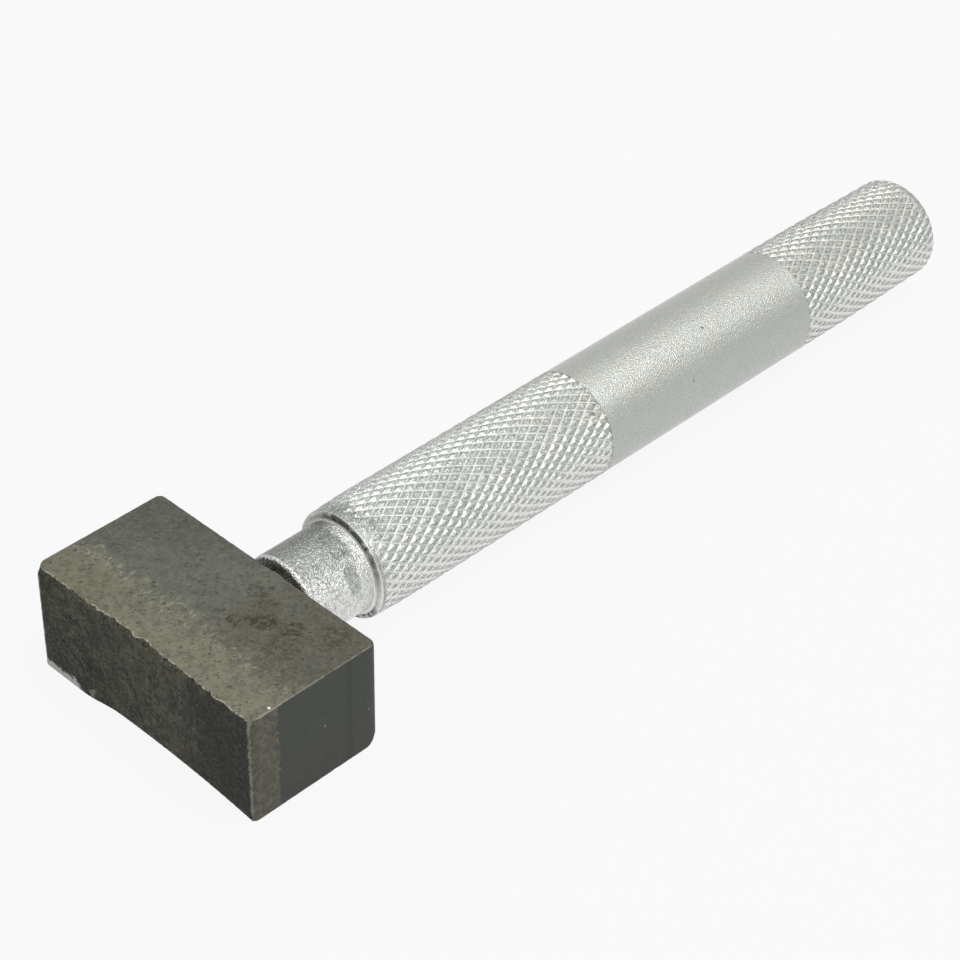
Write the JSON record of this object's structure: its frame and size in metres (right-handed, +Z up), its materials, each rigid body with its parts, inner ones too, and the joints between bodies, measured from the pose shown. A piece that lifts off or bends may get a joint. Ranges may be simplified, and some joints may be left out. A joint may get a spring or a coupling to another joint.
{
  "type": "diamond wheel dresser",
  "caption": "T-shaped hand tool: a bar head faced with a sintered diamond layer, screwed onto a knurled steel handle, for truing and dressing grinding wheels.",
  "frame": {"origin": "bottom centre of the tool's box, level with the head's underside", "axes": "+X along the head to its right end seen from the working face, +Y along the handle from the working face to the tail, +Z up"},
  "size_m": [0.0452, 0.1662, 0.0185],
  "materials": {
    "sintered_diamond_layer": "gritty sintered metal with diamond grains, ground and chipped",
    "dark_steel_block": "dark oxidised steel with small rust spots",
    "zinc_plated_handle": "bright zinc plating, satin on the plain band, knurled grip"
  },
  "bodies": {
    "root": {"diamond_layer": "sintered_diamond_layer", "backing_block": "dark_steel_block", "handle": "zinc_plated_handle"}
  },
  "joints": []
}
